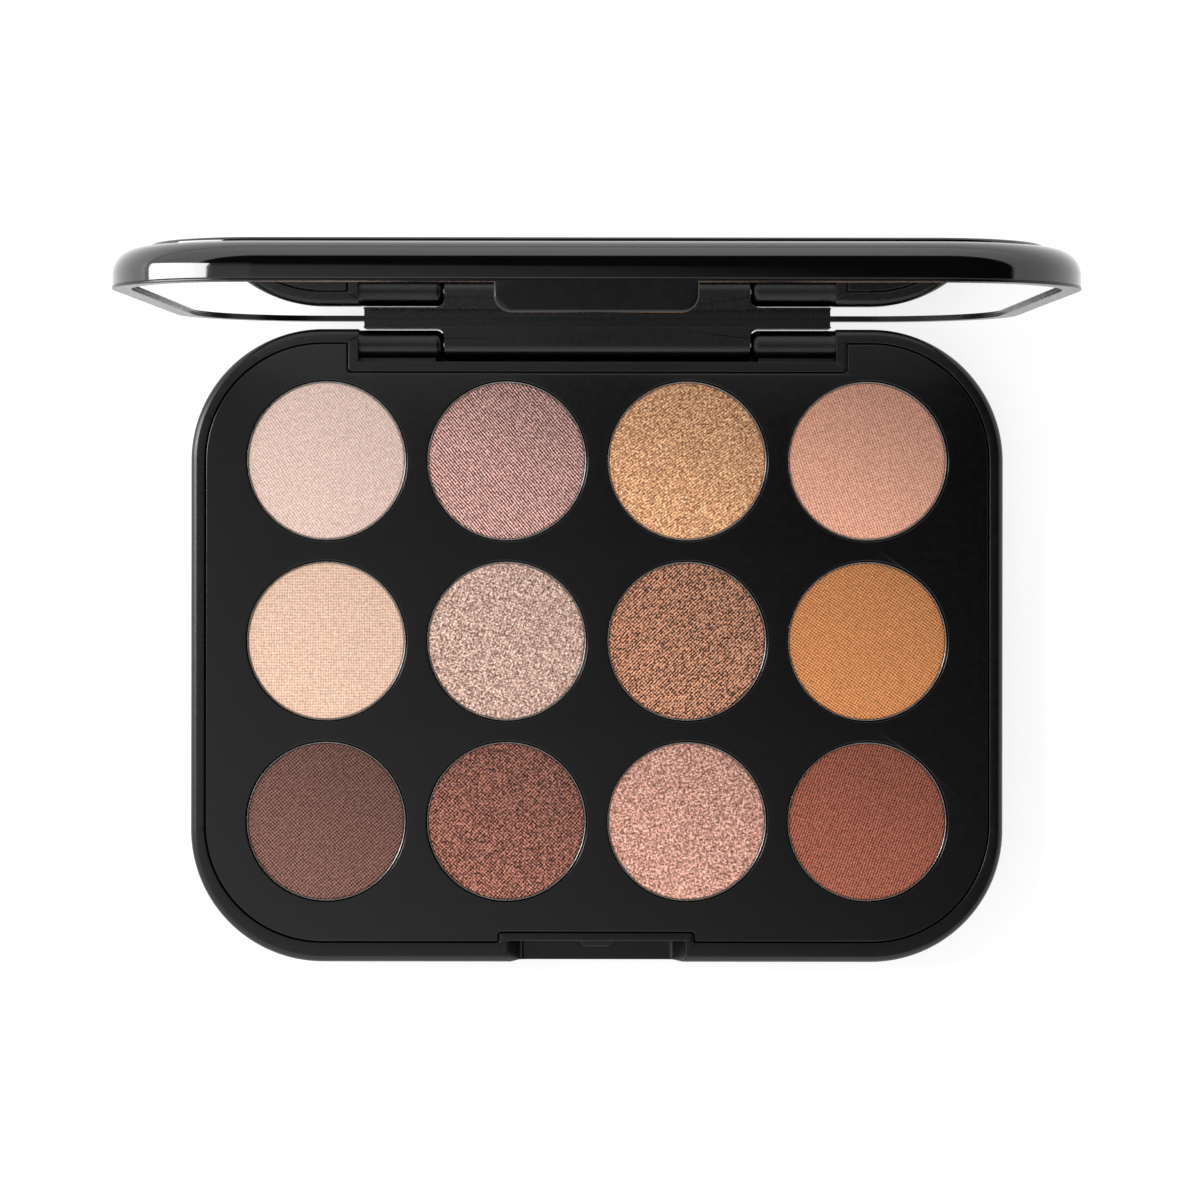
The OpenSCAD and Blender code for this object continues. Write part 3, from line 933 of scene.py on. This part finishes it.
def painted_light_fade(s, shade, number, painted_fade):
    """Painted light and shade: a colour made paler towards the front left of its pan, and darker towards the
    rear right.
    """
    middle = pan_centre(number)
    place = s.node("ShaderNodeSeparateXYZ")
    s.link(s.coords, place.inputs[0])
    across_x = s.math("MULTIPLY", place.outputs[0], PAINTED_FADE_X)
    across_y = s.math("MULTIPLY", place.outputs[1], PAINTED_FADE_Y)
    reach = s.math("SUBTRACT", s.math("ADD", across_x, across_y), PAINTED_FADE_X*middle[0] + PAINTED_FADE_Y*middle[1])
    scale = s.node("ShaderNodeVectorMath", operation="SCALE")
    s.link(shade, scale.inputs[0])
    s.link(s.spread(reach, 1 + painted_fade, 1 - painted_fade, -PAINTED_FADE_REACH, PAINTED_FADE_REACH), scale.inputs["Scale"])
    return scale.outputs["Vector"]


def flaked(s, shade, colour, sparkle):
    """A colour with bright flakes in it, partly the flakes' own pale colour and partly painted glint, and with
    it a random value that differs from flake to flake.
    """
    flakes = s.node("ShaderNodeTexVoronoi", feature="F1")
    flakes.inputs["Scale"].default_value = 1/FLAKE
    s.link(s.coords, flakes.inputs["Vector"])
    random = s.node("ShaderNodeSeparateColor")
    s.link(flakes.outputs["Color"], random.inputs[0])
    picked = s.math("GREATER_THAN", random.outputs[0], 1 - FLAKE_SHARE*sparkle)
    red, green, blue = colour[:3]
    cool, warm = [red, green*1.1, blue*1.15], [red*1.1, green, blue*0.85]
    # Painted glints: the picked flakes are drawn brighter than the powder, partly as their own pale colour.
    glint = s.ramp(random.outputs[1], [
        (0.0, scaled(colour, 1.6)), (0.5, scaled(cool, 2.3)), (1.0, scaled(warm, 2.0)),
    ])
    mix = s.node("ShaderNodeMix", data_type="RGBA")
    s.link(picked, mix.inputs["Factor"])
    s.link(shade, mix.inputs[6])
    s.link(glint, mix.inputs[7])
    return mix.outputs[2], random.outputs[2]


def powder_finish(number, screen, gain, angle, cross, weave, grain, painted_fade, pearl, sparkle):
    """A pressed cake with the print of the cloth that it was pressed through.

    gain is how much brighter the pan's light and the finish itself make the powder, and it is divided out of
    the screen colour. The cloth's threads run at an angle of their own in each pan, and cross is the share of
    the crossing threads. weave and grain set how strongly the threads and the powder's own grain show, in the
    bump and in the painted shade and highlight on the print. painted_fade sets how strong the painted light
    towards the front left and the painted shade towards the rear right are, pearl how metallic it is, and
    sparkle how many flakes stand out, whose pale colour is partly painted glint.
    """
    colour = scaled(srgb(*screen), 1/(gain*POWDER_GAIN))
    s = Shader(f"powder {number}")
    s.set(Specular_IOR_Level=0.2 + 0.3*pearl, Metallic=0.5*pearl, Sheen_Weight=0.1*(1 - pearl))
    cloth = cloth_print(s, angle, cross)
    grains = s.spread(s.noise(GRAIN_SCALE, 1), -1.0, 1.0, 0.28, 0.72)
    relief = s.math("ADD", s.math("MULTIPLY", cloth, weave), s.math("MULTIPLY", grains, grain))
    # Painted shade and highlight on the print's relief, then painted light towards the front left and painted
    # shade towards the rear right.
    shade = painted_light_fade(s, painted_relief_shading(s, relief, colour, pearl), number, painted_fade)
    shade, random = flaked(s, shade, colour, sparkle)
    s.feed("Base Color", shade)
    s.feed("Roughness", s.spread(random, 0.9 - 0.5*pearl, 0.95 - 0.3*pearl))
    s.feed("Normal", s.bump(relief, RELIEF, 0.6 + 0.4*pearl))
    return s.material


# ---- Stage -------------------------------------------------------------------------------------------------

# The glow overhead: its strength at the zenith, and how it grows towards the left and the front.
GLOW_ZENITH = 0.24
GLOW_LEFT, GLOW_LEFT_MOST = 2.2, 0.40
GLOW_FRONT = 1.9
GLOW_LEAST, GLOW_MOST = 0.02, 1.8

# The white surround: its strength, what it loses towards the left and the right, and the sine of its top's
# elevation, which is lower towards the right.
SURROUND, SURROUND_LEFT, SURROUND_RIGHT = 1.6, 0.4, 0.6
SURROUND_TOP, SURROUND_RIGHT_DROP, SURROUND_SOFTNESS = 0.66, 0.2, 0.03

SOFTBOX_AT, SOFTBOX_AIM = (-0.80, 0.19, 0.44), (0, 0.05, 0.06)
SOFTBOX_W, SOFTBOX_H, SOFTBOX_POWER = 0.26, 0.80, 9

# Fitted to the photo's outlines of the base and the lid. The turn is in radians, about the vertical.
CAMERA_AT = (0.0005, 0.00744, 0.4914)
CAMERA_TURN = 0.0012
LENS, SENSOR_W = 88.8, 36

FLOOR_HALF, FLOOR_CELLS = 3.0, 24


def make_floor():
    """A large pale floor, as a grid. It glows a little, so that it shows white."""
    row = FLOOR_CELLS + 1
    cell = 2*FLOOR_HALF/FLOOR_CELLS
    verts, faces = [], []
    for j in range(row):
        for i in range(row):
            verts.append((i*cell - FLOOR_HALF, j*cell - FLOOR_HALF, 0))
    for j in range(FLOOR_CELLS):
        for i in range(FLOOR_CELLS):
            corner = j*row + i
            faces.append((corner, corner + 1, corner + row + 1, corner + row))
    floor = mesh_object("studio_floor", verts, faces)
    s = Shader("studio floor")
    s.set(Specular_IOR_Level=0.0, Emission_Strength=0.8, Emission_Color=(1, 1, 1, 1))
    s.feed("Base Color", s.ramp(s.noise(8, 2), [(0.3, [0.29, 0.29, 0.29, 1]), (0.7, [0.31, 0.31, 0.31, 1])]))
    s.set(Roughness=0.9)
    floor.data.materials.append(s.material)


def make_softbox():
    data = bpy.data.lights.new("left softbox", "AREA")
    data.shape = "RECTANGLE"
    data.size, data.size_y = SOFTBOX_W, SOFTBOX_H
    data.energy = SOFTBOX_POWER
    lamp = bpy.data.objects.new("left softbox", data)
    lamp.location = SOFTBOX_AT
    lamp.rotation_euler = (Vector(SOFTBOX_AIM) - Vector(SOFTBOX_AT)).to_track_quat("-Z", "Y").to_euler()
    bpy.context.scene.collection.objects.link(lamp)


def make_world():
    """A white surround that ends well below the zenith, under a dim glow that grows towards the front left.

    The surround is strongest in front and behind, and its top is lower on the right.
    """
    world = bpy.data.worlds.new("studio")
    bpy.context.scene.world = world
    world.use_nodes = True
    tree = world.node_tree
    background = next(n for n in tree.nodes if n.type == "BACKGROUND")
    split = tree.nodes.new("ShaderNodeSeparateXYZ")
    tree.links.new(tree.nodes.new("ShaderNodeTexCoord").outputs["Generated"], split.inputs[0])
    x, y, z = split.outputs

    def calc(operation, a, b, clamp=False):
        node = tree.nodes.new("ShaderNodeMath")
        node.operation = operation
        node.use_clamp = clamp
        for socket, value in zip(node.inputs, (a, b)):
            if isinstance(value, (int, float)):
                socket.default_value = value
            else:
                tree.links.new(value, socket)
        return node.outputs[0]

    right = calc("MAXIMUM", x, 0.0)
    left = calc("MAXIMUM", calc("MULTIPLY", x, -1.0), 0.0)
    from_left = calc("MINIMUM", calc("MULTIPLY", x, -GLOW_LEFT), GLOW_LEFT_MOST)
    glow = calc("ADD", from_left, calc("MULTIPLY", y, -GLOW_FRONT))
    glow = calc("MINIMUM", calc("MAXIMUM", calc("ADD", glow, GLOW_ZENITH), GLOW_LEAST), GLOW_MOST)
    surround = calc("ADD", calc("MULTIPLY", left, -SURROUND_LEFT), SURROUND)
    surround = calc("ADD", surround, calc("MULTIPLY", right, -SURROUND_RIGHT))
    edge = calc("SUBTRACT", SURROUND_TOP, calc("MULTIPLY", right, SURROUND_RIGHT_DROP))
    inside = calc("DIVIDE", calc("SUBTRACT", edge, z), SURROUND_SOFTNESS, clamp=True)
    mix = tree.nodes.new("ShaderNodeMix")   # of two numbers
    tree.links.new(inside, mix.inputs["Factor"])
    tree.links.new(glow, mix.inputs["A"])
    tree.links.new(surround, mix.inputs["B"])
    tree.links.new(mix.outputs["Result"], background.inputs["Strength"])
    background.inputs["Color"].default_value = (1, 1, 1, 1)


def make_camera():
    """Straight above the palette, looking down on it."""
    data = bpy.data.cameras.new("camera")
    data.lens = LENS
    data.sensor_width = SENSOR_W
    data.clip_start, data.clip_end = 0.01, 20
    camera = bpy.data.objects.new("camera", data)
    camera.location = CAMERA_AT
    camera.rotation_euler = (0, 0, CAMERA_TURN)
    bpy.context.scene.collection.objects.link(camera)
    bpy.context.scene.camera = camera
    bpy.context.scene.view_settings.view_transform = "Standard"


# ---- Assembly ----------------------------------------------------------------------------------------------

def dress_cad_node(name, material):
    """A carried-over CAD node gets a finished material."""
    node = frame["nodes"][name]
    node.data.materials.clear()
    node.data.materials.append(material)


def make_object():
    base = moulded_plastic("base plastic", 0.0012, 0.30, 0.4)
    deck = moulded_plastic("deck plastic", 0.0010, 0.20, 0.5)
    surround = moulded_plastic("frame plastic", 0.0010, 0.26, 0.45)
    gloss = gloss_plastic("lid gloss", 0.001, 0.08)
    metal = pressed_metal("pan metal")
    make_base_shell(base)
    make_deck(deck)
    for number in PAN_NUMBERS:
        make_pan(number, metal)
        make_powder(number, powder_finish(number, *POWDERS[number - 1]))
    make_mirror_frame(surround)
    make_lid_shell(gloss)
    make_lid_panel(gloss)
    make_mirror(mirror_silver("mirror silver"))
    glue, steel = adhesive("adhesive"), steel_wire("hinge steel")
    dress_cad_node("pan_adhesive", glue)
    dress_cad_node("mirror_tape", glue)
    dress_cad_node("hinge_pin_left", steel)
    dress_cad_node("hinge_pin_right", steel)


make_camera()
make_object()
make_floor()
make_world()
make_softbox()
